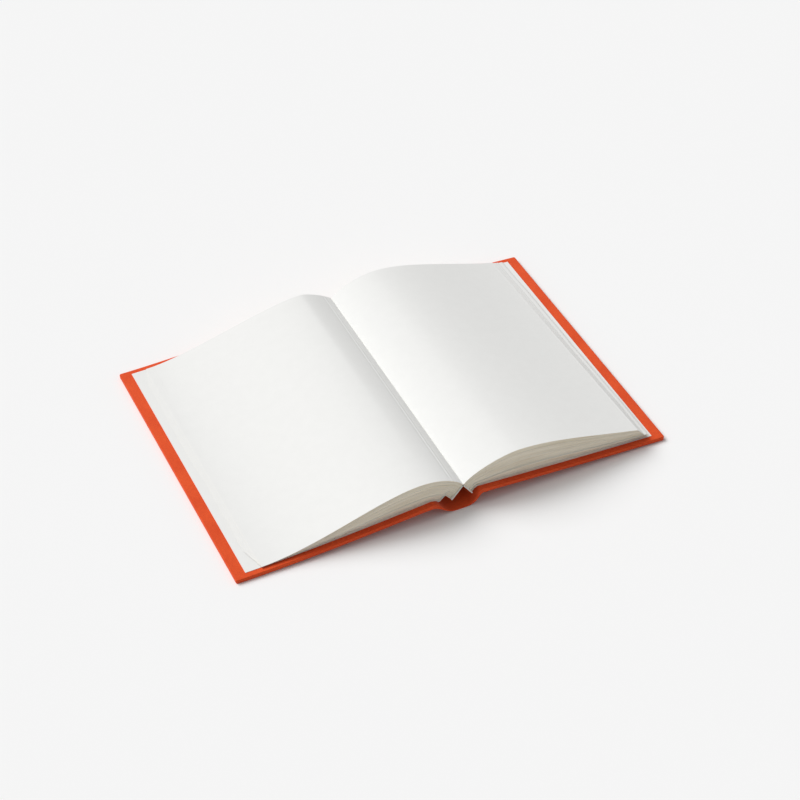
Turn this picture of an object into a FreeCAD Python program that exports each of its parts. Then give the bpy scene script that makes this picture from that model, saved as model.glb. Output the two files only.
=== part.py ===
import FreeCAD, Part
import math
import os

import Sketcher

# An open hardcover book that lies face up, with blank pages and a cloth cover.
# Origin: on the table, under the middle of the spread. X runs across the spread, with the front
# cover at -X and the back cover at +X. Y runs along the spine from tail to head, and Z is up.
# Lengths are in millimetres and angles in degrees.

SIZES = {
    # The case: two boards and a spine strip in one cloth
    "cover_height": 235.0,
    "cover_width": 148.5,
    "inner_reach": 19.25,
    "inner_rise": 8.68,
    "corner_radius": 2.4,
    "board_thickness": 2.6,
    "cloth_thickness": 0.4,
    "turn_in": 15.0,
    "joint_cloth": 0.8,
    "joint_gap": 0.45,
    # The spine strip: flat on the table, with both sides turned up towards the boards
    "spine_offset": 0.8,
    "spine_flat": 22.8,
    "spine_rise": 6.3,
    "spine_flange_angle": 60.0,
    "spine_bend_radius": 3.0,
    "inlay_thickness": 0.8,
    "inlay_inset": 1.2,
    # Endpapers, pasted to the boards
    "endpaper_thickness": 0.3,
    "fore_margin": 7.5,
    "end_margin": 4.3,
    # The pages, parted at the gutter
    "page_square": 3.2,
    "gutter_offset": 5.2,
    "gutter_gap": 4.0,
    "gutter_height": 20.6,
    "lining_thickness": 1.0,
    "lining_start": 1.6,
    # The front half of the pages. Its curve differs a little between tail and head
    "front_leg": 14.6,
    "front_leg_angle": 52.0,
    "front_leave_angle": 50.0,
    "front_leave_pull": 8.0,
    "front_crest_reach": 32.2,
    "front_crest_height": 32.1,
    "front_crest_pull_in": 15.9,
    "front_crest_pull_out": 32.4,
    "front_edge_setback": 20.5,
    "front_edge_thickness": 1.3,
    "front_edge_angle": 2.0,
    "front_edge_pull": 44.0,
    "front_stagger": 10.5,
    "front_head_crest_reach": 32.2,
    "front_head_crest_height": 32.1,
    "front_head_edge_thickness": 1.6,
    "front_head_edge_angle": 3.0,
    "front_fold_notch": 3.5,
    "front_fold_height": 4.1,
    "front_dip_depth": 2.9,
    # The back half of the pages, thick at the fore-edge's tail and pressed flat at its head
    "back_leg": 13.8,
    "back_leg_angle": 55.0,
    "back_leave_angle": 50.0,
    "back_leave_pull": 11.5,
    "back_crest_reach": 42.9,
    "back_crest_height": 35.7,
    "back_crest_pull_in": 12.7,
    "back_crest_pull_out": 26.7,
    "back_edge_setback": 22.5,
    "back_edge_thickness": 11.0,
    "back_edge_angle": 13.6,
    "back_edge_pull": 42.6,
    "back_stagger": 10.5,
    "back_head_crest_reach": 37.6,
    "back_head_crest_height": 34.2,
    "back_head_edge_thickness": 2.6,
    "back_head_edge_angle": 15.2,
    "back_fold_notch": 1.4,
    "back_fold_height": 2.3,
    "back_dip_depth": 0.8,
}

SHEET = "Sizes"
ALONG_SPINE = FreeCAD.Vector(0.0, 1.0, 0.0)
UPRIGHT = FreeCAD.Vector(0.0, 0.0, 1.0)
NEAR = 1e-6

# Which way each cover lies from the spine
SIDES = {"front": -1.0, "back": 1.0}


def make_sheet(doc):
    """Write every size into its own named cell."""
    sheet = doc.addObject("Spreadsheet::Sheet", SHEET)
    for row, (alias, value) in enumerate(SIZES.items(), start=1):
        sheet.set(f"A{row}", alias)
        sheet.set(f"B{row}", str(value))
        sheet.setAlias(f"B{row}", alias)
    doc.recompute()
    return sheet


def bind(thing, prop, formula):
    """Tie a property to the sheet. In a formula, a name in braces is a size."""
    thing.setExpression(prop, formula.replace("{", SHEET + ".").replace("}", ""))


def point(x, z):
    """A point of a cross-section, which lies in the plane y = 0."""
    return FreeCAD.Vector(x, 0.0, z)


# The cover's own frame: X inward from the fore-edge, Y along the spine, Z up from its outer face.

def cover_frame(sheet, side):
    """Where a cover lies: its fore-edge on the table and its inner end raised beside the spine."""
    sign = SIDES[side]
    turn = 180.0 if sign > 0 else 0.0
    tilt = math.asin(sheet.inner_rise / sheet.cover_width)
    facing = FreeCAD.Rotation(UPRIGHT, turn)
    tilted = FreeCAD.Rotation(ALONG_SPINE, sign * math.degrees(tilt))
    fore_reach = sheet.inner_reach + sheet.cover_width * math.cos(tilt)
    corner = FreeCAD.Vector(sign * fore_reach, 0.0, 0.0)
    return FreeCAD.Placement(corner, tilted.multiply(facing))


def cover_point(sheet, side, inward, above):
    """A point of the cross-section, given in the cover's own frame."""
    return cover_frame(sheet, side).multVec(FreeCAD.Vector(inward, 0.0, above))


def cover_thickness(sheet):
    """Board with cloth on both faces."""
    return sheet.board_thickness + 2 * sheet.cloth_thickness


def paper_level(sheet):
    """Height of the pasted endpaper's upper face in the cover's own frame."""
    return cover_thickness(sheet) + sheet.endpaper_thickness


# Building blocks

def plate(doc, label, place, near, span, width, low, thick, radius=None):
    """A flat plate in the cover's frame. With a radius, its two fore-edge corners are rounded."""
    body = doc.addObject("PartDesign::Body", label)
    body.Label = label
    body.Placement = place
    outline = body.newObject("Sketcher::SketchObject", label + "_outline")
    base = next(f for f in body.Origin.OriginFeatures if f.Role == "XY_Plane")
    outline.AttachmentSupport = [(base, "")]
    outline.MapMode = "FlatFace"
    bind(outline, "AttachmentOffset.Base.x", near)
    bind(outline, "AttachmentOffset.Base.z", low)

    start_x, end_x, start_y, end_y = 0.0, 50.0, -40.0, 40.0
    corners = [(start_x, start_y), (end_x, start_y), (end_x, end_y), (start_x, end_y)]
    for first, second in zip(corners, corners[1:] + corners[:1]):
        line = Part.LineSegment(FreeCAD.Vector(*first, 0.0), FreeCAD.Vector(*second, 0.0))
        outline.addGeometry(line, False)
    tail, inner, head, fore = 0, 1, 2, 3
    begin, end = 1, 2
    x_axis, y_axis = -1, -2
    for line in (tail, inner, head, fore):
        following = (line + 1) % len(corners)
        outline.addConstraint(Sketcher.Constraint("Coincident", line, end, following, begin))
    for line in (tail, head):
        outline.addConstraint(Sketcher.Constraint("Horizontal", line))
    outline.addConstraint(Sketcher.Constraint("Vertical", inner))
    outline.addConstraint(Sketcher.Constraint("PointOnObject", fore, begin, y_axis))
    outline.addConstraint(Sketcher.Constraint("Symmetric", fore, begin, fore, end, x_axis))
    sized = [("Span", "DistanceX", tail, span), ("Width", "DistanceY", inner, width)]
    for name, kind, line, formula in sized:
        index = outline.addConstraint(Sketcher.Constraint(kind, line, begin, line, end, end_x))
        outline.renameConstraint(index, name)
        bind(outline, "Constraints." + name, formula)

    pad = body.newObject("PartDesign::Pad", label + "_pad")
    pad.Profile = outline
    bind(pad, "Length", thick)
    body.Tip = pad
    if radius:
        doc.recompute()
        nearest = min(vertex.X for vertex in pad.Shape.Vertexes)
        upright = [
            f"Edge{number}"
            for number, edge in enumerate(pad.Shape.Edges, start=1)
            if all(abs(vertex.X - nearest) < NEAR for vertex in edge.Vertexes)
            and abs(edge.Vertexes[0].Y - edge.Vertexes[1].Y) < NEAR
        ]
        rounding = body.newObject("PartDesign::Fillet", label + "_corners")
        rounding.Base = (pad, upright)
        bind(rounding, "Radius", radius)
        body.Tip = rounding
    return body


def closed_face(edges):
    """The face inside a closed run of edges."""
    return Part.Face(Part.Wire(Part.__sortEdges__(edges)))


def straight_edges(points):
    """Straight edges from each point to the next."""
    return [Part.LineSegment(a, b).toShape() for a, b in zip(points, points[1:])]


def extruded(doc, label, face, length):
    """A cross-section carried along the spine, half each way from the middle."""
    section = doc.addObject("Part::Feature", label + "_section")
    section.Shape = face
    solid = doc.addObject("Part::Extrusion", label)
    solid.Label = label
    solid.Base = section
    solid.DirMode = "Custom"
    solid.Dir = ALONG_SPINE
    solid.Solid = True
    solid.Symmetric = True
    bind(solid, "LengthFwd", length)
    return solid


def boolean(doc, kind, label, base, tool):
    """One boolean of two objects."""
    result = doc.addObject(kind, label)
    result.Label = label
    result.Base = base
    result.Tool = tool
    return result


def joined(doc, label, base, tool):
    """One solid of two that share a face."""
    result = boolean(doc, "Part::Fuse", label, base, tool)
    result.Refine = True
    return result


# The spine strip

def strip_edge(sheet, depth, inset):
    """The strip's outline at a depth below its outer skin, from the front end to the back end."""
    slope = math.radians(sheet.spine_flange_angle)
    outer_radius = sheet.spine_bend_radius
    inner_radius = outer_radius - depth
    flange = (sheet.spine_rise - outer_radius * (1 - math.cos(slope))) / math.sin(slope) - inset
    edges, ends = [], []
    for sign in (-1.0, 1.0):
        bend_x = sheet.spine_offset + sign * (sheet.spine_flat / 2 - outer_radius * math.tan(slope / 2))

        def on_bend(angle):
            return point(bend_x + sign * inner_radius * math.sin(angle),
                         outer_radius - inner_radius * math.cos(angle))

        start, middle, stop = on_bend(0.0), on_bend(slope / 2), on_bend(slope)
        tip = stop + point(sign * flange * math.cos(slope), flange * math.sin(slope))
        edges += [Part.Arc(start, middle, stop).toShape(), Part.LineSegment(stop, tip).toShape()]
        ends.append((start, tip))
    (front_start, front_tip), (back_start, back_tip) = ends
    edges.append(Part.LineSegment(front_start, back_start).toShape())
    return edges, front_tip, back_tip


def strip_face(sheet, low, high, inset=0.0):
    """The strip's cross-section between two depths below its outer skin."""
    lower, lower_front, lower_back = strip_edge(sheet, low, inset)
    upper, upper_front, upper_back = strip_edge(sheet, high, inset)
    ends = straight_edges([lower_front, upper_front]) + straight_edges([lower_back, upper_back])
    return closed_face(lower + upper + ends)


def make_spine(doc, sheet):
    """The spine's card inlay, and the cloth that wraps it with a turn-in at head and tail."""
    skin = sheet.cloth_thickness
    card = skin + sheet.inlay_thickness
    whole = card + skin
    inset = sheet.inlay_inset
    inlay_length = "{cover_height} - 2 * {cloth_thickness}"
    inlay = extruded(doc, "spine_inlay", strip_face(sheet, skin, card, inset), inlay_length)
    wrap = extruded(doc, "spine_wrap", strip_face(sheet, 0.0, whole), "{cover_height}")
    window_face = strip_face(sheet, card, whole, inset)
    window = extruded(doc, "spine_window", window_face, "{cover_height} - 2 * {turn_in}")
    hollowed = boolean(doc, "Part::Cut", "spine_hollowed", wrap, inlay)
    cloth = boolean(doc, "Part::Cut", "spine_cloth", hollowed, window)
    return [inlay, cloth]


# The covers

def joint_face(sheet, side):
    """The cloth of the hinge: from the board's inner end to just short of the spine strip."""
    sign = SIDES[side]
    tips = strip_edge(sheet, 0.0, 0.0)[1:]
    tip = tips[0] if sign < 0 else tips[1]
    end = tip + point(sign * sheet.joint_gap, 0.0)
    corners = [
        cover_point(sheet, side, sheet.cover_width, 0.0),
        end,
        end + point(0.0, sheet.joint_cloth),
        cover_point(sheet, side, sheet.cover_width, sheet.joint_cloth),
    ]
    return closed_face(straight_edges(corners + corners[:1]))


def make_cover(doc, sheet, side):
    """A board, its cloth with turn-ins on three edges, and the endpaper pasted over them."""
    place = cover_frame(sheet, side)
    board_level = "{cloth_thickness}"
    inner_face = "{cloth_thickness} + {board_thickness}"
    upper_face = "{board_thickness} + 2 * {cloth_thickness}"
    board = plate(
        doc, side + "_board", place, near="{cloth_thickness}", span="{cover_width} - {cloth_thickness}",
        width="{cover_height} - 2 * {cloth_thickness}", low=board_level, thick="{board_thickness}",
        radius="{corner_radius} - {cloth_thickness}")
    wrap = plate(
        doc, side + "_wrap", place, near="0", span="{cover_width}", width="{cover_height}",
        low="0", thick=upper_face, radius="{corner_radius}")
    window = plate(
        doc, side + "_window", place, near="{turn_in}", span="{cover_width} - {turn_in}",
        width="{cover_height} - 2 * {turn_in}", low=inner_face, thick="{cloth_thickness}")
    joint = extruded(doc, side + "_joint", joint_face(sheet, side), "{cover_height}")
    hollowed = boolean(doc, "Part::Cut", side + "_hollowed", wrap, board)
    opened = boolean(doc, "Part::Cut", side + "_opened", hollowed, window)
    cloth = joined(doc, side + "_cover_cloth", opened, joint)

    leaf = plate(
        doc, side + "_leaf", place, near="{fore_margin}", span="{cover_width} - {fore_margin}",
        width="{cover_height} - 2 * {end_margin}", low=upper_face, thick="{endpaper_thickness}")
    pasted = joined(doc, side + "_pasted", leaf, window)
    fold_length = "{cover_height} - 2 * {end_margin}"
    fold = extruded(doc, side + "_fold", fold_face(sheet, side), fold_length)
    endpaper = joined(doc, side + "_endpaper", pasted, fold)
    return [board, cloth, endpaper]


# The pages

def side_sizes(sheet, side):
    """The sizes of one half of the pages, without the side's name in front."""
    start = side + "_"
    return {alias[len(start):]: getattr(sheet, alias) for alias in SIZES if alias.startswith(start)}


def back_line(sheet, side):
    """The glued back of one half: from the gutter's top down to its foot, and its outward normal."""
    sign = SIDES[side]
    own = side_sizes(sheet, side)
    slope = math.radians(own["leg_angle"])
    down = point(sign * math.cos(slope), -math.sin(slope))
    outward = point(-sign * math.sin(slope), -math.cos(slope))
    top = point(sheet.gutter_offset + sign * sheet.gutter_gap / 2, sheet.gutter_height)
    return top, down, outward, top + down * own["leg"]


def fold_points(sheet, side):
    """The underside near the hinge: the board's inner end, a dip over the joint, and a fold."""
    sign = SIDES[side]
    own = side_sizes(sheet, side)
    foot = back_line(sheet, side)[3]
    board_end = cover_point(sheet, side, sheet.cover_width, paper_level(sheet))
    fold = foot + point(sign * own["fold_notch"], own["fold_height"])
    dip = point((board_end.x + fold.x) / 2, board_end.z - own["dip_depth"])
    return board_end, dip, fold


def fold_face(sheet, side):
    """The endpaper's own fold, which follows the underside of the pages across the joint."""
    board_end, dip, fold = fold_points(sheet, side)
    drop = point(0.0, -sheet.endpaper_thickness)
    seat = cover_point(sheet, side, sheet.cover_width, cover_thickness(sheet))
    corners = [board_end, dip, fold, fold + drop, dip + drop, seat]
    return closed_face(straight_edges(corners + corners[:1]))


def curve_edge(start, start_pull, stop, stop_pull):
    """A smooth curve between two points, which leaves each along its pull."""
    curve = Part.BezierCurve()
    curve.setPoles([start, start + start_pull, stop + stop_pull, stop])
    return curve.toShape()


def page_outline(sheet, side, at_head):
    """One half of the pages at its tail or head: a hump by the gutter, down to the fore-edge."""
    sign = SIDES[side]
    own = side_sizes(sheet, side)
    if at_head:
        start = "head_"
        own.update({name[len(start):]: size for name, size in own.items() if name.startswith(start)})
    top, _, _, foot = back_line(sheet, side)
    board_end, dip, fold = fold_points(sheet, side)

    def polar(length, angle):
        return point(sign * length * math.cos(math.radians(angle)), length * math.sin(math.radians(angle)))

    crest = point(sheet.gutter_offset + sign * own["crest_reach"], own["crest_height"])
    setback = own["edge_setback"]
    edge_top = cover_point(sheet, side, setback, paper_level(sheet) + own["edge_thickness"])
    edge_low = cover_point(sheet, side, setback - own["stagger"], paper_level(sheet))
    upper = [
        curve_edge(top, polar(own["leave_pull"], own["leave_angle"]),
                   crest, point(-sign * own["crest_pull_in"], 0.0)),
        curve_edge(crest, point(sign * own["crest_pull_out"], 0.0),
                   edge_top, polar(-own["edge_pull"], -own["edge_angle"])),
    ]
    lower = straight_edges([edge_top, edge_low, board_end, dip, fold, foot, top])
    return Part.Wire(upper + lower)


def lining_face(sheet, side):
    """The lining glued to the back of one half, a little short of the gutter's top."""
    top, down, outward, foot = back_line(sheet, side)
    begin = top + down * sheet.lining_start
    shift = outward * sheet.lining_thickness
    corners = [begin, foot, foot + shift, begin + shift]
    return closed_face(straight_edges(corners + corners[:1]))


def make_pages(doc, sheet, side):
    """One half of the pages and the lining on its back."""
    outlines = []
    for end_name, at_head, level in (("tail", False, "{page_square} - {cover_height} / 2"),
                                     ("head", True, "{cover_height} / 2 - {page_square}")):
        outline = doc.addObject("Part::Feature", f"{side}_pages_{end_name}")
        outline.Shape = page_outline(sheet, side, at_head)
        bind(outline, "Placement.Base.y", level)
        outlines.append(outline)
    pages = doc.addObject("Part::Loft", side + "_pages")
    pages.Label = side + "_pages"
    pages.Sections = outlines
    pages.Solid = True
    pages.Ruled = True
    lining = extruded(doc, side + "_lining", lining_face(sheet, side), "{cover_height} - 2 * {page_square}")
    return [pages, lining]


def check(doc, parts):
    """Stop if any object failed or any piece is not one valid solid."""
    for thing in doc.Objects:
        if "Invalid" in thing.State or "Error" in thing.State:
            raise RuntimeError(f"{thing.Label} did not recompute: {thing.State}")
    for piece in parts:
        shape = piece.Shape
        if shape.isNull() or not shape.isValid() or len(shape.Solids) != 1:
            raise RuntimeError(f"{piece.Label} is not one valid solid")


def main():
    doc = FreeCAD.newDocument("open_book")
    sheet = make_sheet(doc)
    parts = make_spine(doc, sheet)
    for side in SIDES:
        parts += make_cover(doc, sheet, side)
        parts += make_pages(doc, sheet, side)
    doc.recompute()
    check(doc, parts)
    os.makedirs("parts", exist_ok=True)
    for piece in parts:
        piece.Shape.exportStep(f"parts/{piece.Label}.step")
        bounds = piece.Shape.BoundBox
        print(f"{piece.Label}: {piece.Shape.Volume / 1000:.2f} cm3, "
              f"x {bounds.XMin:.1f} to {bounds.XMax:.1f}, z {bounds.ZMin:.2f} to {bounds.ZMax:.1f}")


main()
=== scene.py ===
import logging
import math
from dataclasses import dataclass, field
from enum import Enum

import bmesh
import bpy
import numpy as np
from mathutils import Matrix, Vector

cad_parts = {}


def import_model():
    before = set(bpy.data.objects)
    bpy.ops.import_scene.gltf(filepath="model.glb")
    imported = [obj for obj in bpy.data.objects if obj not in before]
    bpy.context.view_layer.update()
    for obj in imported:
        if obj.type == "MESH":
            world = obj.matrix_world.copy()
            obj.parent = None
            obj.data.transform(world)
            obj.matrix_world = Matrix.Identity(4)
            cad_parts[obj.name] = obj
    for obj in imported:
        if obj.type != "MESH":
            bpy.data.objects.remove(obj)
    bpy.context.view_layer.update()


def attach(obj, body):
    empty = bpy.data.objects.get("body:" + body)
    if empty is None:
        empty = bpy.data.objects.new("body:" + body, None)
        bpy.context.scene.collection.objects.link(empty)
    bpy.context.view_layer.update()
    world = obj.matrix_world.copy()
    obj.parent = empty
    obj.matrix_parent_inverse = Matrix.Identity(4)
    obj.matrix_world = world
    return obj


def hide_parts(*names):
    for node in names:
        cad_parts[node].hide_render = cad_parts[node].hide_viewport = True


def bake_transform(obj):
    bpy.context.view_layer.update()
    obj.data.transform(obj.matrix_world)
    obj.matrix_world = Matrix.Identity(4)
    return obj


# An open hardcover book, face up, with blank pages and an orange cloth case.
# X runs across the spread, the front cover at -X. Y runs along the spine from tail to head.
# Sizes in this file are in millimetres until a mesh is made, and angles are in degrees.

MM = 0.001
RIM_SHARP = 40.0
SHEET_SHARP = 50.0
LEAF_SHARP = 35.0
LOG = logging.getLogger("open_book")

Point = tuple[float, float]


class Side(Enum):
    """Which half of the book a piece belongs to."""

    FRONT = "front"
    BACK = "back"

    @property
    def sign(self) -> float:
        """Direction of this half along X."""
        return -1.0 if self is Side.FRONT else 1.0

    @property
    def body(self) -> str:
        """The moving body of this half."""
        return f"{self.value}_cover"


def linear(hex_code: str) -> tuple[float, float, float, float]:
    """Turn an sRGB hex value such as #E25A34 into linear red, green, blue and alpha.

    Args:
        hex_code: the colour, with its leading hash.

    Returns:
        The four channels, with alpha 1.
    """
    knee, low_slope, offset, power = 0.04045, 12.92, 0.055, 2.4
    channels = [int(hex_code[start:start + 2], 16) / 255 for start in (1, 3, 5)]
    red, green, blue = (
        value / low_slope if value <= knee else ((value + offset) / (1 + offset)) ** power
        for value in channels
    )
    return red, green, blue, 1.0


def add_node(tree: bpy.types.NodeTree, kind: str, settings: dict, links: dict) -> bpy.types.Node:
    """Add one shader node.

    Args:
        tree: the material's or the world's node tree.
        kind: the node's type name.
        settings: node properties and input values, by name, or input values by index.
        links: the output socket that feeds each input, by the input's name or index.

    Returns:
        The new node.
    """
    node = tree.nodes.new(kind)
    for name, value in settings.items():
        if isinstance(name, str) and hasattr(node, name):
            setattr(node, name, value)
        else:
            node.inputs[name].default_value = value
    for name, socket in links.items():
        tree.links.new(socket, node.inputs[name])
    return node


def new_material(name: str) -> tuple[bpy.types.Material, bpy.types.NodeTree]:
    """Make an empty node material.

    Args:
        name: the material's name.

    Returns:
        The material and its cleared node tree.
    """
    material = bpy.data.materials.new(name)
    material.use_nodes = True
    material.node_tree.nodes.clear()
    return material, material.node_tree


def end_material(tree: bpy.types.NodeTree, settings: dict, colour: bpy.types.NodeSocket,
                 normal: bpy.types.NodeSocket) -> None:
    """End a material in one surface.

    Args:
        tree: the material's node tree.
        settings: the surface's own values.
        colour: the output that feeds its colour.
        normal: the output that feeds its relief.
    """
    surface = add_node(tree, "ShaderNodeBsdfPrincipled", settings, {"Base Color": colour, "Normal": normal})
    add_node(tree, "ShaderNodeOutputMaterial", {}, {"Surface": surface.outputs[0]})


@dataclass(frozen=True)
class BookCloth:
    """Dyed cotton book cloth, plain woven and starch filled: matt, with a fine thread grain and painted
    shade in the crevices between the threads.
    """

    name: str = "woven_cotton_book_cloth"
    thread_light: str = "#F05B27"
    thread_dark: str = "#DF4B1E"
    # Painted shade: the darker colour laid into the crevices between the threads.
    crevice_shade: str = "#A83A18"
    fleck: str = "#8A4630"
    thread_spacing: float = 0.62
    slub_length: float = 2.4
    shade_patch: float = 26.0
    weave_height: float = 0.10
    roughness: float = 0.86
    sheen: float = 0.06
    specular: float = 0.25
    slub_detail: float = 5.0
    slub_roughness: float = 0.75
    slub_share: float = 0.5
    soft_detail: float = 2.0
    tone_range: Point = (0.75, 1.25)
    fleck_range: Point = (0.61, 0.73)
    fleck_strength: float = 0.75
    # How wide and how strong the painted shade in the weave's crevices is.
    crevice_shade_width: float = 0.35
    crevice_shade_strength: float = 0.45
    bump_strength: float = 0.5

    def build(self) -> bpy.types.Material:
        """Make the material. Its threads are coarser than the real 0.4 mm, so that they show."""
        material, tree = new_material(self.name)
        coordinates = add_node(tree, "ShaderNodeTexCoord", {}, {})
        split = add_node(tree, "ShaderNodeSeparateXYZ", {}, {"Vector": coordinates.outputs["UV"]})
        threads = []
        for axis in ("X", "Y"):
            turns = add_node(tree, "ShaderNodeMath",
                             {"operation": "MULTIPLY", 1: math.pi / self.thread_spacing},
                             {0: split.outputs[axis]})
            wave = add_node(tree, "ShaderNodeMath", {"operation": "SINE"}, {0: turns.outputs[0]})
            threads.append(wave.outputs[0])
        crossing = add_node(tree, "ShaderNodeMath", {"operation": "MULTIPLY"},
                            {0: threads[0], 1: threads[1]})
        weave = add_node(tree, "ShaderNodeMath", {"operation": "ABSOLUTE"}, {0: crossing.outputs[0]})
        slub = add_node(tree, "ShaderNodeTexNoise",
                        {"Scale": 1 / self.slub_length, "Detail": self.slub_detail,
                         "Roughness": self.slub_roughness},
                        {"Vector": coordinates.outputs["UV"]})
        fleck = add_node(tree, "ShaderNodeTexNoise",
                         {"Scale": 1 / self.thread_spacing, "Detail": self.soft_detail},
                         {"Vector": coordinates.outputs["UV"]})
        fleck_low, fleck_high = self.fleck_range
        fleck_mask = add_node(tree, "ShaderNodeMapRange",
                              {"From Min": fleck_low, "From Max": fleck_high,
                               "To Min": 0.0, "To Max": self.fleck_strength},
                              {"Value": fleck.outputs["Fac"]})
        patch = add_node(tree, "ShaderNodeTexNoise",
                         {"Scale": 1 / self.shade_patch, "Detail": self.soft_detail},
                         {"Vector": coordinates.outputs["UV"]})
        tone = add_node(tree, "ShaderNodeMath", {"operation": "ADD"},
                        {0: slub.outputs["Fac"], 1: patch.outputs["Fac"]})
        tone_low, tone_high = self.tone_range
        tone_fit = add_node(tree, "ShaderNodeMapRange", {"From Min": tone_low, "From Max": tone_high},
                            {"Value": tone.outputs[0]})
        threads_colour = add_node(tree, "ShaderNodeMix",
                                  {"data_type": "RGBA", 6: linear(self.thread_dark),
                                   7: linear(self.thread_light)},
                                  {0: tone_fit.outputs[0]})
        # Painted shade: along the lines between the threads, the colour is mixed toward the darker crevice
        # colour.
        depth = add_node(tree, "ShaderNodeMapRange",
                         {"From Min": 0.0, "From Max": self.crevice_shade_width,
                          "To Min": self.crevice_shade_strength, "To Max": 0.0},
                         {"Value": weave.outputs[0]})
        woven = add_node(tree, "ShaderNodeMix", {"data_type": "RGBA", 7: linear(self.crevice_shade)},
                         {0: depth.outputs[0], 6: threads_colour.outputs[2]})
        flecked = add_node(tree, "ShaderNodeMix", {"data_type": "RGBA", 7: linear(self.fleck)},
                           {0: fleck_mask.outputs[0], 6: woven.outputs[2]})
        height = add_node(tree, "ShaderNodeMath", {"operation": "MULTIPLY_ADD", 1: self.slub_share},
                          {0: slub.outputs["Fac"], 2: weave.outputs[0]})
        bump = add_node(tree, "ShaderNodeBump",
                        {"Strength": self.bump_strength, "Distance": self.weave_height * MM},
                        {"Height": height.outputs[0]})
        end_material(tree, {"Roughness": self.roughness, "Sheen Weight": self.sheen,
                            "Specular IOR Level": self.specular}, flecked.outputs[2], bump.outputs[0])
        return material


@dataclass(frozen=True)
class Paper:
    """Uncoated wood-free paper, machine finished: matt white, with a faint fibre cloud."""

    name: str = "uncoated_white_paper"
    light: str = "#ECECEA"
    dark: str = "#E7E7E5"
    cloud: float = 9.0
    fibre: float = 0.5
    fibre_height: float = 0.02
    roughness: float = 0.8
    specular: float = 0.2
    cloud_detail: float = 6.0
    cloud_roughness: float = 0.65
    fibre_detail: float = 3.0
    bump_strength: float = 0.35

    def build(self) -> bpy.types.Material:
        """Make the material."""
        material, tree = new_material(self.name)
        coordinates = add_node(tree, "ShaderNodeTexCoord", {}, {})
        cloud = add_node(tree, "ShaderNodeTexNoise",
                         {"Scale": 1 / self.cloud, "Detail": self.cloud_detail,
                          "Roughness": self.cloud_roughness},
                         {"Vector": coordinates.outputs["UV"]})
        fibre = add_node(tree, "ShaderNodeTexNoise", {"Scale": 1 / self.fibre, "Detail": self.fibre_detail},
                         {"Vector": coordinates.outputs["UV"]})
        colour = add_node(tree, "ShaderNodeMix",
                          {"data_type": "RGBA", 6: linear(self.dark), 7: linear(self.light)},
                          {0: cloud.outputs["Fac"]})
        bump = add_node(tree, "ShaderNodeBump",
                        {"Strength": self.bump_strength, "Distance": self.fibre_height * MM},
                        {"Height": fibre.outputs["Fac"]})
        end_material(tree, {"Roughness": self.roughness, "Specular IOR Level": self.specular},
                     colour.outputs[2], bump.outputs[0])
        return material


@dataclass(frozen=True)
class PageEdge:
    """The trimmed edges of the sheets: guillotine cut, so fine lines run along the sheets."""

    name: str = "guillotine_cut_page_edges"
    light: str = "#FAF3E2"
    dark: str = "#DFD3BA"
    sheet: float = 0.30
    section: float = 3.2
    line_length: float = 60.0
    sheet_detail: float = 2.0
    section_detail: float = 3.0
    line_roughness: float = 0.6
    sheet_share: float = 0.55
    tone_range: Point = (0.55, 1.0)
    line_depth: float = 0.05
    bump_strength: float = 0.4
    roughness: float = 0.9
    specular: float = 0.15

    def build(self) -> bpy.types.Material:
        """Make the material. A real sheet is 0.1 mm thick, and its line is drawn three times as wide."""
        material, tree = new_material(self.name)
        coordinates = add_node(tree, "ShaderNodeTexCoord", {}, {})
        layers = []
        for pitch, detail in ((self.sheet, self.sheet_detail), (self.section, self.section_detail)):
            stretched = add_node(tree, "ShaderNodeMapping",
                                 {"Scale": (1 / self.line_length, 1 / pitch, 1.0)},
                                 {"Vector": coordinates.outputs["UV"]})
            noise = add_node(tree, "ShaderNodeTexNoise",
                             {"Scale": 1.0, "Detail": detail, "Roughness": self.line_roughness},
                             {"Vector": stretched.outputs[0]})
            layers.append(noise.outputs["Fac"])
        tone = add_node(tree, "ShaderNodeMath", {"operation": "MULTIPLY_ADD", 1: self.sheet_share},
                        {0: layers[0], 2: layers[1]})
        tone_low, tone_high = self.tone_range
        fit = add_node(tree, "ShaderNodeMapRange", {"From Min": tone_low, "From Max": tone_high},
                       {"Value": tone.outputs[0]})
        colour = add_node(tree, "ShaderNodeMix",
                          {"data_type": "RGBA", 6: linear(self.dark), 7: linear(self.light)},
                          {0: fit.outputs[0]})
        bump = add_node(tree, "ShaderNodeBump",
                        {"Strength": self.bump_strength, "Distance": self.line_depth * MM},
                        {"Height": layers[0]})
        end_material(tree, {"Roughness": self.roughness, "Specular IOR Level": self.specular},
                     colour.outputs[2], bump.outputs[0])
        return material


@dataclass(frozen=True)
class Speckled:
    """A matt fibrous material with a fine speckle, such as pressed board, card or backing cloth."""

    name: str
    light: str
    dark: str
    speckle: float
    relief: float = 0.05
    roughness: float = 0.92
    specular: float = 0.15
    detail: float = 4.0
    speckle_roughness: float = 0.7
    bump_strength: float = 0.5

    def build(self) -> bpy.types.Material:
        """Make the material."""
        material, tree = new_material(self.name)
        coordinates = add_node(tree, "ShaderNodeTexCoord", {}, {})
        scaled = add_node(tree, "ShaderNodeVectorMath", {"operation": "SCALE", "Scale": 1 / MM},
                          {0: coordinates.outputs["Object"]})
        noise = add_node(tree, "ShaderNodeTexNoise",
                         {"Scale": 1 / self.speckle, "Detail": self.detail,
                          "Roughness": self.speckle_roughness},
                         {"Vector": scaled.outputs[0]})
        colour = add_node(tree, "ShaderNodeMix",
                          {"data_type": "RGBA", 6: linear(self.dark), 7: linear(self.light)},
                          {0: noise.outputs["Fac"]})
        bump = add_node(tree, "ShaderNodeBump",
                        {"Strength": self.bump_strength, "Distance": self.relief * MM},
                        {"Height": noise.outputs["Fac"]})
        end_material(tree, {"Roughness": self.roughness, "Specular IOR Level": self.specular},
                     colour.outputs[2], bump.outputs[0])
        return material


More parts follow.
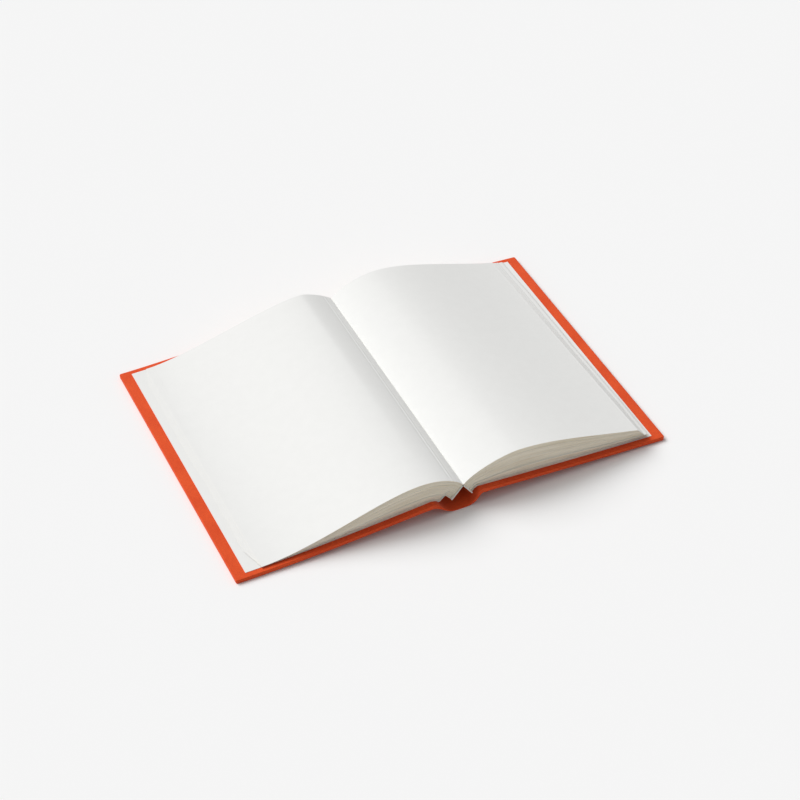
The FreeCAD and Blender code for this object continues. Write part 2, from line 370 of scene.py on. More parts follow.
@dataclass
class Finishes:
    """Every material of the book, made once."""

    cloth: bpy.types.Material = field(default_factory=lambda: BookCloth().build())
    paper: bpy.types.Material = field(default_factory=lambda: Paper().build())
    edge: bpy.types.Material = field(default_factory=lambda: PageEdge().build())
    board: bpy.types.Material = field(
        default_factory=lambda: Speckled("pressed_greyboard", "#9A948B", "#6F6A63", 0.7).build())
    card: bpy.types.Material = field(
        default_factory=lambda: Speckled("kraft_spine_card", "#A5784F", "#7F5A3A", 0.6).build())
    lining: bpy.types.Material = field(
        default_factory=lambda: Speckled("glued_mull_lining", "#F4F2EC", "#D9D4C8", 0.5).build())


def bezier(start: Point, start_pull: Point, stop: Point, stop_pull: Point, count: int) -> np.ndarray:
    """Sample a cubic curve.

    Args:
        start: first point.
        start_pull: the handle at the first point, relative to it.
        stop: last point.
        stop_pull: the handle at the last point, relative to it.
        count: number of samples.

    Returns:
        An array of count points.
    """
    p0, p3 = np.array(start, float), np.array(stop, float)
    p1, p2 = p0 + np.array(start_pull), p3 + np.array(stop_pull)
    t = np.linspace(0.0, 1.0, count)[:, None]
    return (1 - t) ** 3 * p0 + 3 * (1 - t) ** 2 * t * p1 + 3 * (1 - t) * t ** 2 * p2 + t ** 3 * p3


def smooth_line(points: list[Point], per_span: int) -> np.ndarray:
    """Carry a smooth curve through chosen points (a Catmull-Rom spline).

    Args:
        points: the points, in order.
        per_span: samples from each point to the next.

    Returns:
        The sampled curve, ends included.
    """
    p = np.array(points, float)
    padded = np.vstack([2 * p[0] - p[1], p, 2 * p[-1] - p[-2]])
    t = np.linspace(0.0, 1.0, per_span, endpoint=False)[:, None]
    spans = []
    for a, b, c, d in zip(padded, padded[1:], padded[2:], padded[3:]):
        spans.append(0.5 * (2 * b + (c - a) * t + (2 * a - 5 * b + 4 * c - d) * t ** 2
                            + (3 * b - 3 * c + d - a) * t ** 3))
    return np.vstack(spans + [p[-1:]])


def arc_lengths(line: np.ndarray) -> np.ndarray:
    """Distance along a line of points, from 0 at its first."""
    steps = np.linalg.norm(np.diff(line, axis=0), axis=1)
    return np.concatenate([[0.0], np.cumsum(steps)])


def resample(line: np.ndarray, shares: np.ndarray) -> np.ndarray:
    """Take points at given shares of a line's length.

    Args:
        line: the line's points.
        shares: values from 0 to 1.

    Returns:
        One point for each share.
    """
    along = arc_lengths(line)
    targets = shares * along[-1]
    return np.stack([np.interp(targets, along, line[:, axis]) for axis in range(line.shape[1])], axis=1)


def turned(angle: float) -> np.ndarray:
    """The direction at an angle above +X, as (x, z)."""
    return np.array([math.cos(math.radians(angle)), math.sin(math.radians(angle))])


class Draft:
    """Collects closed sheets for one piece and turns them into an object."""

    def __init__(self) -> None:
        """Start empty."""
        self.points: list[np.ndarray] = []
        self.faces: list[np.ndarray] = []
        self.uvs: list[np.ndarray] = []
        self.slots: list[np.ndarray] = []
        self.count = 0

    def add_quads(self, corners: np.ndarray, along: np.ndarray, across: np.ndarray, slot: int) -> None:
        """Add the quads of a grid whose points are there already.

        Args:
            corners: rows by columns of point numbers.
            along: the pattern's place for each row.
            across: the pattern's place for each column.
            slot: the material's number on the object.
        """
        spread = np.stack(np.meshgrid(along, across, indexing="ij"), axis=-1)
        for grid, store in ((corners, self.faces), (spread, self.uvs)):
            quads = np.stack([grid[:-1, :-1], grid[1:, :-1], grid[1:, 1:], grid[:-1, 1:]], axis=2)
            store.append(quads.reshape(-1, 4, *grid.shape[2:]))
        self.slots.append(np.full(len(self.faces[-1]), slot))

    def add_slab(self, upper: np.ndarray, lower: np.ndarray, levels: Point, slots: tuple[int, int]) -> None:
        """Add a closed sheet between two surfaces.

        Args:
            upper: rows by columns by 3, the upper face. Rows run along the section, columns along Y.
            lower: the same for the lower face.
            levels: the lower and upper height in the stack, which the edges' pattern follows.
            slots: material numbers of the faces and of the edges.
        """
        face_slot, edge_slot = slots
        along, across = arc_lengths(upper[:, 0]), upper[0, :, 1]
        size = upper.shape[0] * upper.shape[1]
        top = np.arange(size).reshape(upper.shape[:2]) + self.count
        under = top + size
        self.points += [upper.reshape(-1, 3), lower.reshape(-1, 3)]
        self.count += 2 * size
        height = np.array(levels)
        self.add_quads(top, along, across, face_slot)
        self.add_quads(under[:, ::-1], along, across[::-1], face_slot)
        self.add_quads(np.stack([under[:, 0], top[:, 0]], axis=1), along, height, edge_slot)
        self.add_quads(np.stack([top[:, -1], under[:, -1]], axis=1), along, height[::-1], edge_slot)
        self.add_quads(np.stack([top[0], under[0]], axis=1), across, height[::-1], edge_slot)
        self.add_quads(np.stack([under[-1], top[-1]], axis=1), across, height, edge_slot)

    def build(self, name: str, materials: list[bpy.types.Material], sharp_angle: float) -> bpy.types.Object:
        """Make the object, with every closed shell facing outward.

        Args:
            name: the piece's name.
            materials: its materials, in the order of the slot numbers.
            sharp_angle: edges that bend more than this stay sharp.

        Returns:
            The new object.
        """
        mesh = bpy.data.meshes.new(name)
        points, faces = np.concatenate(self.points) * MM, np.concatenate(self.faces)
        mesh.from_pydata(points.tolist(), [], faces.tolist())
        mesh.polygons.foreach_set("material_index", np.concatenate(self.slots).astype(np.int32))
        layer = mesh.uv_layers.new(name="UVMap")
        layer.data.foreach_set("uv", np.concatenate(self.uvs).astype(np.float32).ravel())
        shape = bmesh.new()
        shape.from_mesh(mesh)
        bmesh.ops.recalc_face_normals(shape, faces=shape.faces)
        shape.to_mesh(mesh)
        shape.free()
        return place(mesh, name, materials, sharp_angle)


def place(mesh: bpy.types.Mesh, name: str, materials: list[bpy.types.Material],
          sharp_angle: float) -> bpy.types.Object:
    """Put a finished mesh into the scene.

    Args:
        mesh: the mesh, in metres.
        name: the object's name.
        materials: its materials.
        sharp_angle: edges that bend more than this stay sharp.

    Returns:
        The new object.
    """
    for material in materials:
        mesh.materials.append(material)
    mesh.shade_smooth()
    mesh.set_sharp_from_angle(angle=math.radians(sharp_angle))
    thing = bpy.data.objects.new(name, mesh)
    bpy.context.scene.collection.objects.link(thing)
    LOG.info("%s: %d faces", name, len(mesh.polygons))
    return thing


@dataclass
class CoverPlan:
    """Where the two covers lie, and how thick their layers are."""

    height: float = 235.0
    width: float = 148.5
    inner_reach: float = 19.25
    inner_rise: float = 8.68
    board: float = 2.6
    skin: float = 0.4
    endpaper: float = 0.3
    fore_margin: float = 8.6
    end_margin: float = 4.3
    page_square: float = 3.2
    front_bow: float = 1.7
    back_bow: float = 0.4
    bow_skew: float = 0.82

    @property
    def thickness(self) -> float:
        """Board with cloth on both faces."""
        return self.board + 2 * self.skin

    @property
    def paper_level(self) -> float:
        """The pasted endpaper's upper face, above the cover's outer face."""
        return self.thickness + self.endpaper

    def bow(self, side: Side, inward: np.ndarray) -> np.ndarray:
        """How far the cover sags below a straight board.

        Args:
            side: which cover.
            inward: distance from the fore-edge.

        Returns:
            The sag at each distance.
        """
        depth = self.front_bow if side is Side.FRONT else self.back_bow
        share = np.clip(inward / self.width, 0.0, 1.0)
        return depth * np.sin(math.pi * share ** self.bow_skew)

    def place(self, side: Side, inward: np.ndarray, above: np.ndarray) -> np.ndarray:
        """Turn places on a cover into the book's frame.

        Args:
            side: which cover.
            inward: distance from the fore-edge along the board.
            above: height above the cover's outer face.

        Returns:
            The points as (x, z).
        """
        inward, above = np.broadcast_arrays(np.asarray(inward, float), np.asarray(above, float))
        tilt = math.asin(self.inner_rise / self.width)
        fore_reach = self.inner_reach + self.width * math.cos(tilt)
        x = side.sign * (fore_reach - inward * math.cos(tilt) + above * math.sin(tilt))
        z = inward * math.sin(tilt) + above * math.cos(tilt) - self.bow(side, inward)
        return np.stack([x, z], axis=-1)


def swept(section: np.ndarray, stations: np.ndarray) -> np.ndarray:
    """Carry a section along the spine.

    Args:
        section: points as (x, z).
        stations: places along Y.

    Returns:
        Section by stations by 3.
    """
    grid = np.empty((len(section), len(stations), 3))
    grid[:, :, 0] = section[:, None, 0]
    grid[:, :, 1] = stations[None, :]
    grid[:, :, 2] = section[:, None, 1]
    return grid


def offset(section: np.ndarray, distance: np.ndarray | float) -> np.ndarray:
    """Move a section sideways by a distance, to the left of its direction.

    Args:
        section: points as (x, z).
        distance: one distance, or one for each point.

    Returns:
        The moved points.
    """
    along = np.gradient(section, axis=0)
    along /= np.linalg.norm(along, axis=1)[:, None]
    normal = np.stack([-along[:, 1], along[:, 0]], axis=1)
    return section + normal * np.broadcast_to(np.asarray(distance, float), len(section))[:, None]


@dataclass
class Cover:
    """One cover: a board with cloth round it, its corners and its rim rounded."""

    side: Side
    plan: CoverPlan
    finishes: Finishes
    fore_corner: float = 1.4
    inner_corner: float = 0.7
    edge_round: float = 0.6
    board_round: float = 0.3
    corner_steps: int = 8
    round_steps: int = 5
    slices: int = 30

    def outline(self, inset: float) -> np.ndarray:
        """The cover's outline in its own plane, drawn in from its edge.

        Args:
            inset: how far in.

        Returns:
            Points as (inward, y), all the way round.
        """
        plan = self.plan
        half = plan.height / 2 - inset
        least = 0.05
        fore, inner = max(self.fore_corner - inset, least), max(self.inner_corner - inset, least)
        corners = [
            (inset + fore, -half + fore, fore, 180.0),
            (plan.width - inset - inner, -half + inner, inner, 270.0),
            (plan.width - inset - inner, half - inner, inner, 0.0),
            (inset + fore, half - fore, fore, 90.0),
        ]
        points = []
        for centre_x, centre_y, radius, start in corners:
            for step in range(self.corner_steps + 1):
                angle = math.radians(start + 90.0 * step / self.corner_steps)
                points.append((centre_x + radius * math.cos(angle), centre_y + radius * math.sin(angle)))
        return np.array(points)

    def shell(self, inset: float, low: float, high: float, rounding: float) -> bmesh.types.BMesh:
        """A flat plate with a rounded rim, still lying in its own plane.

        Args:
            inset: how far its rim lies inside the cover's.
            low: its lower face.
            high: its upper face.
            rounding: radius of its rim.

        Returns:
            The plate, in millimetres, with (inward, y, above) as its coordinates.
        """
        shape = bmesh.new()
        rings = []
        for level, turn in ((low + rounding, -1.0), (high - rounding, 1.0)):
            for step in range(self.round_steps + 1):
                share = step / self.round_steps if turn > 0 else 1 - step / self.round_steps
                angle = share * math.pi / 2
                drawn_in = inset + rounding * (1 - math.cos(angle))
                above = level + turn * rounding * math.sin(angle)
                rings.append([shape.verts.new((x, y, above)) for x, y in self.outline(drawn_in)])
        for lower, upper in zip(rings, rings[1:]):
            for index, first in enumerate(lower):
                following = (index + 1) % len(lower)
                shape.faces.new((first, lower[following], upper[following], upper[index]))
        shape.faces.new(list(reversed(rings[0])))
        shape.faces.new(rings[-1])
        for step in range(1, self.slices):
            everything = shape.verts[:] + shape.edges[:] + shape.faces[:]
            cut = self.plan.width * step / self.slices
            bmesh.ops.bisect_plane(shape, geom=everything, plane_co=(cut, 0, 0), plane_no=(1, 0, 0))
        return shape

    def finish(self, shape: bmesh.types.BMesh, name: str, material: bpy.types.Material) -> bpy.types.Object:
        """Lay the plate in its place and make it an object.

        Args:
            shape: the plate from shell, with (inward, y, above) as its coordinates.
            name: the piece's name.
            material: its material.

        Returns:
            The new object.
        """
        steep = 0.6
        layer = shape.loops.layers.uv.new("UVMap")
        shape.normal_update()
        for face in shape.faces:
            normal = face.normal
            for loop in face.loops:
                x, y, above = loop.vert.co
                if abs(normal.z) > steep:
                    loop[layer].uv = (x, y)
                elif abs(normal.x) > abs(normal.y):
                    loop[layer].uv = (above, y)
                else:
                    loop[layer].uv = (x, above)
        for vertex in shape.verts:
            x, z = self.plan.place(self.side, vertex.co.x, vertex.co.z)
            vertex.co = Vector((x, vertex.co.y, max(z, 0.0))) * MM
        bmesh.ops.recalc_face_normals(shape, faces=shape.faces)
        mesh = bpy.data.meshes.new(name)
        shape.to_mesh(mesh)
        shape.free()
        return place(mesh, name, [material], RIM_SHARP)

    def build(self) -> None:
        """Make the cloth and the board inside it."""
        plan, side = self.plan, self.side
        cloth = self.finish(self.shell(0.0, 0.0, plan.thickness, self.edge_round),
                            f"{side.value}_cover_wrap", self.finishes.cloth)
        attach(cloth, side.body)
        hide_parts(f"{side.value}_cover_cloth")
        skin = plan.skin
        board = self.finish(self.shell(skin, skin, skin + plan.board, self.board_round),
                            f"{side.value}_bowed_board", self.finishes.board)
        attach(board, side.body)
        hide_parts(f"{side.value}_board")


@dataclass
class SpineStrip:
    """The case between the boards: one cloth from board to board, with a card strip inside."""

    plan: CoverPlan
    finishes: Finishes
    overlap: float = 4.5
    lap: float = 0.03
    front_seam: float = -11.5
    back_seam: float = 12.0
    card_reach: float = 9.0
    card_skin: float = 0.3
    end_clearance: float = 0.12
    corner_clearance: float = 0.35
    per_span: int = 7
    rows: int = 36
    outer: tuple[Point, ...] = (
        (-18.9, 8.6), (-16.2, 7.7), (-13.6, 6.2), (-10.9, 4.1), (-7.6, 1.9), (-4.0, 0.4), (0.8, 0.0),
        (6.4, 0.1), (10.4, 0.8), (13.4, 2.4), (15.8, 5.0), (17.5, 7.4), (19.3, 8.6),
    )
    inner: tuple[Point, ...] = (
        (-19.0, 12.1), (-16.6, 11.5), (-14.2, 9.6), (-11.7, 6.6), (-8.0, 3.2), (-3.8, 1.6), (0.8, 1.15),
        (5.8, 1.3), (9.6, 2.1), (12.2, 3.9), (14.4, 7.0), (16.3, 10.4), (18.6, 12.1),
    )

    def lines(self) -> tuple[np.ndarray, np.ndarray]:
        """The cloth's outer and inner line, from a little way along one board to the other."""
        plan = self.plan
        ends = {}
        for side in Side:
            inward = plan.width - np.array([self.overlap, self.overlap / 3])
            levels = (-self.lap, plan.thickness + self.lap)
            ends[side] = [plan.place(side, inward, level) for level in levels]
        both = []
        for which, own in enumerate((self.outer, self.inner)):
            front, back = ends[Side.FRONT][which], ends[Side.BACK][which]
            both.append(smooth_line([*map(tuple, front), *own, *map(tuple, back[::-1])], self.per_span))
        return both[0], both[1]

    def strip(self, section: np.ndarray, stations: np.ndarray) -> np.ndarray:
        """Carry a line of the cloth along the spine, drawn in a little where it lies in a board's edge.

        Args:
            section: points as (x, z).
            stations: places along Y.

        Returns:
            Section by stations by 3.
        """
        grid = swept(section, stations)
        in_board = np.abs(section[:, 0]) > self.plan.inner_reach + self.corner_clearance
        grid[in_board, :, 1] *= 1 - 2 * self.end_clearance / self.plan.height
        return grid

    def build(self) -> None:
        """Make the cloth in three stretches, the middle one on the spine and the two joints fixed in place,
        and the card.
        """
        outer, inner = self.lines()
        half = self.plan.height / 2
        stations = np.linspace(-half, half, self.rows)
        front_end = np.searchsorted(outer[:, 0], self.front_seam)
        back_end = np.searchsorted(outer[:, 0], self.back_seam)
        stretches = (
            ("front_joint_wrap", slice(0, front_end + 1), Side.FRONT),
            ("spine_wrap", slice(front_end, back_end + 1), None),
            ("back_joint_wrap", slice(back_end, len(outer)), Side.BACK),
        )
        for name, span, side in stretches:
            draft = Draft()
            draft.add_slab(self.strip(inner[span], stations), self.strip(outer[span], stations),
                           (0.0, 1.0), (0, 0))
            piece = draft.build(name, [self.finishes.cloth], SHEET_SHARP)
            if side is None:
                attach(piece, "spine")
                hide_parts("spine_cloth")
            else:
                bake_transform(piece)
        self.build_card(outer, inner, stations)

    def build_card(self, outer: np.ndarray, inner: np.ndarray, stations: np.ndarray) -> None:
        """Make the card strip that stiffens the spine's cloth.

        Args:
            outer: the cloth's outer line.
            inner: the cloth's inner line.
            stations: places along Y.
        """
        within = np.abs(outer[:, 0]) < self.card_reach
        share = self.card_skin
        lower = outer[within] * (1 - share) + inner[within] * share
        upper = outer[within] * share + inner[within] * (1 - share)
        draft = Draft()
        draft.add_slab(swept(upper, stations[1:-1]), swept(lower, stations[1:-1]), (0.0, 1.0), (0, 0))
        card = draft.build("spine_card_strip", [self.finishes.card], SHEET_SHARP)
        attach(card, "spine")
        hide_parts("spine_inlay")


@dataclass(frozen=True)
class PageEnd:
    """The curve of the top page at the tail or at the head, and where the pages end there."""

    square: float
    leave_pull: float
    crest: Point
    pull_in: float
    pull_out: float
    edge_height: float
    edge_angle: float
    edge_pull: float
    lift: float


@dataclass(frozen=True)
class Crease:
    """A fine ridge pressed into the top page beside the gutter, with a hollow on each side."""

    tail: float
    head: float
    height: float = 0.16
    width: float = 0.5
    hollow: float = 0.13
    hollow_offset: float = 1.5
    hollow_width: float = 0.9

    def rise(self, along: np.ndarray, share: np.ndarray) -> np.ndarray:
        """The height that the crease adds.

        Args:
            along: distances along the page from the gutter.
            share: places from the tail to the head, from 0 to 1.

        Returns:
            Distances by places.
        """
        middle = self.tail + (self.head - self.tail) * share
        away = along[:, None] - middle[None, :]
        ridge = self.height * np.exp(-(away / self.width) ** 2)
        for sign in (-1.0, 1.0):
            ridge -= self.hollow * np.exp(-((away + sign * self.hollow_offset) / self.hollow_width) ** 2)
        return ridge


@dataclass
class PageBlock:
    """One half of the pages: leaves that fan out from the lining and lie over the cover."""

    side: Side
    plan: CoverPlan
    finishes: Finishes
    apex: Point
    foot: Point
    under: tuple[Point, ...]
    leave_angle: float
    setback: float
    tail: PageEnd
    head: PageEnd
    reach_steps: tuple[Point, ...]
    crease: Crease | None
    leaves: int
    seed: int
    hinge_start: float = 5.3
    stations: int = 56
    rows: int = 13
    top_rows: int = 40
    crease_zone: float = 0.13
    crease_stations: int = 60
    gap: float = 0.10
    jitter: float = 0.12
    wave: float = 0.45
    wave_length: float = 130.0
    lining: float = 0.9
    reach_jitter: float = 0.05
    corner_taper: float = 0.0
    droop: float = 0.0
    droop_length: float = 1.3
    droop_places: tuple[float, ...] = (1.0, 0.6, 0.3, 0.0)
    droop_power: float = 1.5
    squeeze: float = 0.85
    second_wave: Point = (2.7, 0.5)
    recess_steps: tuple[Point, ...] = (
        (0.0, 1.2), (0.05, 1.2), (0.07, 1.9), (0.25, 1.9), (0.27, 0.3), (0.31, 0.3), (0.34, 0.7),
        (0.95, 0.5), (1.0, 0.0))

    def top_curve(self, end: PageEnd, shares: np.ndarray) -> np.ndarray:
        """The upper surface's section at one end of the book.

        Args:
            end: the sizes of that end.
            shares: places along the curve.

        Returns:
            The points as (x, z).
        """
        sign = self.side.sign
        mirror = np.array([sign, 1.0])
        fine = 160
        edge = self.plan.place(self.side, self.setback, self.plan.paper_level + end.edge_height)
        rise = bezier(self.apex, mirror * turned(self.leave_angle) * end.leave_pull,
                      end.crest, (-sign * end.pull_in, 0.0), fine)
        fall = bezier(end.crest, (sign * end.pull_out, 0.0),
                      tuple(edge), mirror * turned(180.0 - end.edge_angle) * end.edge_pull, fine)
        return resample(np.vstack([rise, fall[1:]]), shares)

    def under_curve(self, end: PageEnd, shares: np.ndarray) -> np.ndarray:
        """The lowest leaf's section: out of the lining, over the joint and along the cover.

        Args:
            end: the sizes of that end.
            shares: places along the curve.

        Returns:
            The points as (x, z).
        """
        clear, fade, from_joint, near_samples, far_samples = 0.05, 45.0, 4.0, 6, 60
        near = smooth_line([self.foot, *self.under], near_samples)
        inward = np.linspace(self.plan.width - from_joint, self.setback, far_samples)
        rise = np.clip(1 - (inward - self.setback) / fade, 0.0, 1.0) ** 2 * end.lift
        along = self.plan.place(self.side, inward, self.plan.paper_level + clear + rise)
        return resample(np.vstack([near, along]), shares)

    def leaf_shares(self, top: bool) -> np.ndarray:
        """Places along a leaf. The top page has more, and most of them at its crease."""
        crowding = 1.2
        coarse = np.linspace(0.0, 1.0, self.stations) ** crowding
        if not top:
            return coarse
        between = (coarse[:-1] + coarse[1:]) / 2
        fine = np.linspace(0.0, self.crease_zone, self.crease_stations)
        return np.unique(np.concatenate([coarse, between, fine]))

    def surface(self, level: float, base: float, shares: np.ndarray, rows: np.ndarray,
                reach: np.ndarray) -> np.ndarray:
        """The surface at one level of the stack. The tips of each bunch of leaves press together and droop.

        Args:
            level: 0 at the lowest leaf, 1 at the top page.
            base: the level of the lowest leaf in the same bunch.
            shares: places along the leaf.
            rows: places along the spine.
            reach: for each row, how far this leaf sticks out past the top page's edge.

        Returns:
            Points by rows by 3.
        """
        plan = self.plan
        tail_y, head_y = self.tail.square - plan.height / 2, plan.height / 2 - self.head.square
        share = (rows - tail_y) / (head_y - tail_y)
        ends = []
        for end in (self.tail, self.head):
            upper, lower = self.top_curve(end, shares), self.under_curve(end, shares)
            ends.append(lower + (upper - lower) * level)
        mixed = ends[0][:, None, :] * (1 - share)[None, :, None] + ends[1][:, None, :] * share[None, :, None]
        outward = plan.place(self.side, -1.0, 0.0) - plan.place(self.side, 0.0, 0.0)
        from_tip = self.droop_length * np.array(self.droop_places)
        shortest = self.droop_length * 4 / 3
        length = np.maximum(reach, shortest)
        places = reach * (1 - from_tip[:, None] / length)
        tips = mixed[-1][None, :, :] + places[:, :, None] * outward
        edge_height = self.top_curve(self.tail, shares)[-1, 1] - self.under_curve(self.tail, shares)[-1, 1]
        pressed = min(self.squeeze * (level - base) * edge_height, self.droop)
        bend = (1 - from_tip / self.droop_length) ** self.droop_power
        tips[:, :, 1] -= pressed * bend[:, None] * np.minimum(reach / self.droop_length, 1.0)
        mixed = np.concatenate([mixed, tips])
        grid = np.empty((*mixed.shape[:2], 3))
        grid[:, :, 0] = mixed[:, :, 0]
        grid[:, :, 1] = rows[None, :]
        grid[:, :, 2] = mixed[:, :, 1]
        return grid

    def build(self) -> None:
        """Make the leaves and the lining on their back."""
        draft = Draft()
        random = np.random.default_rng(self.seed)
        plan = self.plan
        stack_height, least_reach = 24.0, 0.2
        reach_levels, reaches = zip(*self.reach_steps)
        recess_levels, recesses = zip(*self.recess_steps)
        phase = random.uniform(0.0, math.tau, 2)
        second_turns, second_height = self.second_wave
        for leaf in range(self.leaves):
            top = leaf == self.leaves - 1
            low, high = leaf / self.leaves, (leaf + 1 - (0.0 if top else self.gap)) / self.leaves
            shares = self.leaf_shares(top)
            loose = 0.0 if top else 1.0
            tail_recess = np.interp(high, recess_levels, recesses)
            tail_recess += loose * abs(random.normal(0.0, self.jitter))
            head_recess = loose * abs(random.normal(0.0, 2 * self.jitter))
            rows = np.linspace(self.tail.square + tail_recess - plan.height / 2,
                               plan.height / 2 - self.head.square - head_recess,
                               self.top_rows if top else self.rows)
            turn = rows * math.tau / self.wave_length
            wave = np.sin(turn + phase[0]) + second_height * np.sin(second_turns * turn + phase[1])
            straight = np.interp(low, reach_levels, reaches)
            straight += loose * abs(random.normal(0.0, self.reach_jitter))
            from_end = np.minimum(rows - rows[0], rows[-1] - rows)
            taper = np.clip(from_end / self.corner_taper, 0.0, 1.0) if self.corner_taper else 1.0
            reach = np.maximum((straight + self.wave * wave * (1.0 - low)) * taper, least_reach)
            base = max(start for start in reach_levels[::2] if start <= low + self.gap / self.leaves)
            upper = self.surface(high, base, shares, rows, reach)
            lower = self.surface(low, base, shares, rows, reach)
            if top and self.crease is not None:
                along = arc_lengths(upper[:, 0])
                upper[:, :, 2] += self.crease.rise(along, np.linspace(0.0, 1.0, len(rows)))
            draft.add_slab(upper, lower, (low * stack_height, high * stack_height), (0, 1))
        finishes = [self.finishes.paper, self.finishes.edge]
        pages = draft.build(f"{self.side.value}_leaves", finishes, LEAF_SHARP)
        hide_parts(f"{self.side.value}_pages")
        self.blend(pages)
        self.build_lining()

    def blend(self, piece: bpy.types.Object) -> None:
        """Bake a piece's transform into its mesh, so that it stays where it was made."""
        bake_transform(piece)

    def build_lining(self) -> None:
        """Make the lining glued along the back of this half."""
        half, steps_down, steps_along = self.plan.height / 2, 9, 20
        back = resample(np.array([self.apex, self.foot]), np.linspace(0.0, 1.0, steps_down))
        outward = offset(back, self.side.sign * -self.lining)
        draft = Draft()
        stations = np.linspace(self.tail.square - half, half - self.head.square, steps_along)
        draft.add_slab(swept(back, stations), swept(outward, stations), (0.0, self.lining), (0, 0))
        piece = draft.build(f"{self.side.value}_glued_lining", [self.finishes.lining], SHEET_SHARP)
        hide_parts(f"{self.side.value}_lining")
        self.blend(piece)


@dataclass
class Endpaper:
    """The sheet pasted to the inside of a cover, with its fold across the joint."""

    side: Side
    plan: CoverPlan
    finishes: Finishes
    under: tuple[Point, ...]
    hinge_start: float = 5.3

    def build(self) -> None:
        """Make the pasted sheet and its fold in one."""
        plan = self.plan
        half = plan.height / 2 - plan.end_margin
        short_of_joint, samples, per_span, steps_along = 1.0, 60, 8, 24
        inward = np.linspace(plan.fore_margin, plan.width - short_of_joint, samples)
        pasted = plan.place(self.side, inward, plan.paper_level)
        fold = smooth_line([tuple(pasted[-1]), *reversed(self.under)], per_span)[1:]
        upper = np.vstack([pasted, fold])
        lower = offset(upper, self.side.sign * plan.endpaper)
        draft = Draft()
        stations = np.linspace(-half, half, steps_along)
        draft.add_slab(swept(upper, stations), swept(lower, stations), (0.0, plan.endpaper), (0, 0))
        piece = draft.build(f"{self.side.value}_pasted_endpaper", [self.finishes.paper], SHEET_SHARP)
        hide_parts(f"{self.side.value}_endpaper")
        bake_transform(piece)


@dataclass
class Studio:
    """The pale floor, the soft light and the camera."""

    floor_colour: str = "#F5F5F5"
    floor_size: float = 12000.0
    ambient: float = 0.33
    softness: float = 40.0
    lamps: tuple[tuple[str, float, float, float], ...] = (
        ("key_softbox", 122.0, 46.0, 1.90),
        ("side_softbox", 150.0, 50.0, 0.98),
    )
    azimuth: float = -25.32
    elevation: float = 41.88
    distance: float = 1538.9
    focal: float = 93.13
    sensor: float = 36.0
    clip: Point = (0.05, 50.0)
    target: tuple[float, float, float] = (12.4, 4.24, 0.0)

    def build_floor(self) -> None:
        """Lay the floor."""
        material, tree = new_material("matt_studio_paper")
        surface = add_node(tree, "ShaderNodeBsdfDiffuse", {"Color": linear(self.floor_colour)}, {})
        add_node(tree, "ShaderNodeOutputMaterial", {}, {"Surface": surface.outputs[0]})
        half = self.floor_size / 2 * MM
        mesh = bpy.data.meshes.new("floor")
        corners = [(-half, -half, 0), (half, -half, 0), (half, half, 0), (-half, half, 0)]
        mesh.from_pydata(corners, [], [(0, 1, 2, 3)])
        floor = place(mesh, "floor", [material], SHEET_SHARP)

    def build_light(self) -> None:
        """Set the ambient light and two soft lamps behind and to the left."""
        world = bpy.data.worlds.new("studio_air")
        world.use_nodes = True
        world.node_tree.nodes.clear()
        air = add_node(world.node_tree, "ShaderNodeBackground",
                       {"Color": linear("#FFFFFF"), "Strength": self.ambient}, {})
        add_node(world.node_tree, "ShaderNodeOutputWorld", {}, {"Surface": air.outputs[0]})
        bpy.context.scene.world = world
        for name, azimuth, height, strength in self.lamps:
            lamp = bpy.data.lights.new(name, "SUN")
            lamp.energy = strength
            lamp.angle = math.radians(self.softness)
            softbox = bpy.data.objects.new(name, lamp)
            across, up = turned(height)
            east, north = turned(azimuth) * across
            softbox.rotation_euler = Vector((east, north, up)).to_track_quat("Z", "Y").to_euler()
            bpy.context.scene.collection.objects.link(softbox)

    def build_camera(self) -> None:
        """Set the camera where the photograph was taken from."""
        data = bpy.data.cameras.new("camera")
        data.lens = self.focal
        data.sensor_width = self.sensor
        data.clip_start, data.clip_end = self.clip
        camera = bpy.data.objects.new("camera", data)
        turn, rise = math.radians(self.azimuth), math.radians(self.elevation)
        back = Vector((math.sin(turn) * math.cos(rise), -math.cos(turn) * math.cos(rise), math.sin(rise)))
        camera.location = (Vector(self.target) + back * self.distance) * MM
        camera.rotation_euler = (-back).to_track_quat("-Z", "Y").to_euler()
        bpy.context.scene.collection.objects.link(camera)
        bpy.context.scene.camera = camera

    def build(self) -> None:
        """Set everything up, with plain colour handling."""
        self.build_floor()
        self.build_light()
        self.build_camera()
        bpy.context.scene.view_settings.view_transform = "Standard"


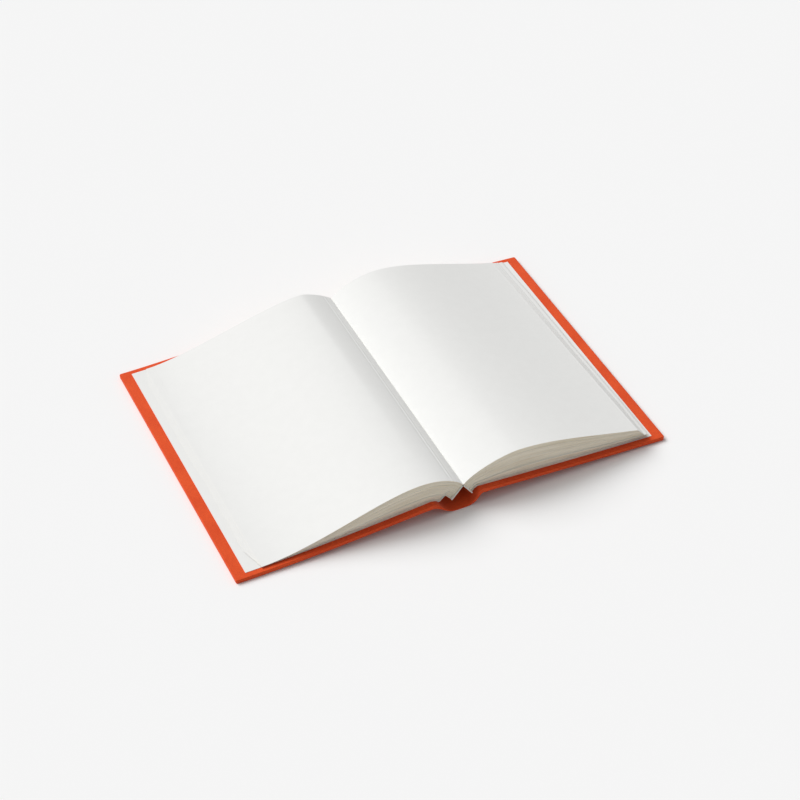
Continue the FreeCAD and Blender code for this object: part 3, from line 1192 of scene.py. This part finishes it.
def main() -> None:
    """Build the book and its studio."""
    logging.basicConfig(level=logging.INFO, format="%(message)s")
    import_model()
    Studio().build()
    plan = CoverPlan()
    finishes = Finishes()
    for side in Side:
        Cover(side, plan, finishes).build()
    SpineStrip(plan, finishes).build()
    front = PageBlock(
        Side.FRONT, plan, finishes, apex=(5.2, 19.6), foot=(-3.9, 8.4),
        under=((-8.6, 13.5), (-10.8, 11.4), (-13.2, 9.6), (-15.6, 11.6)), leave_angle=50.0, setback=20.5,
        tail=PageEnd(square=3.2, leave_pull=8.0, crest=(-27.0, 32.1), pull_in=15.9, pull_out=32.4,
                     edge_height=1.3, edge_angle=2.0, edge_pull=44.0, lift=0.5),
        head=PageEnd(square=4.3, leave_pull=5.4, crest=(-20.6, 31.8), pull_in=6.0, pull_out=29.7,
                     edge_height=0.5, edge_angle=0.0, edge_pull=31.8, lift=0.1),
        reach_steps=((0.0, 5.2), (0.24, 5.2), (0.26, 3.8), (0.49, 3.8), (0.51, 2.2), (0.74, 2.2),
                     (0.76, 0.8), (0.94, 0.8), (1.0, 0.0)),
        crease=Crease(tail=10.4, head=7.2), leaves=34, seed=3, corner_taper=14.0)
    back = PageBlock(
        Side.BACK, plan, finishes, apex=(5.3, 19.6), foot=(13.0, 8.6), under=((15.0, 11.6), (17.2, 12.8)),
        leave_angle=50.0, setback=22.5,
        tail=PageEnd(square=3.2, leave_pull=11.5, crest=(48.1, 35.7), pull_in=12.7, pull_out=26.7,
                     edge_height=11.0, edge_angle=13.6, edge_pull=42.6, lift=1.0),
        head=PageEnd(square=4.0, leave_pull=11.5, crest=(42.8, 34.2), pull_in=12.7, pull_out=26.7,
                     edge_height=2.6, edge_angle=15.2, edge_pull=42.6, lift=0.3),
        reach_steps=((0.0, 9.6), (0.29, 9.6), (0.31, 5.8), (0.49, 5.8), (0.51, 3.9), (0.67, 3.9),
                     (0.69, 2.1), (0.84, 2.1), (0.86, 0.3), (1.0, 0.0)),
        crease=None, leaves=42, seed=5, droop=0.5)
    for block in (front, back):
        block.build()
        Endpaper(block.side, plan, finishes, block.under).build()


if __name__ == "__main__":
    main()
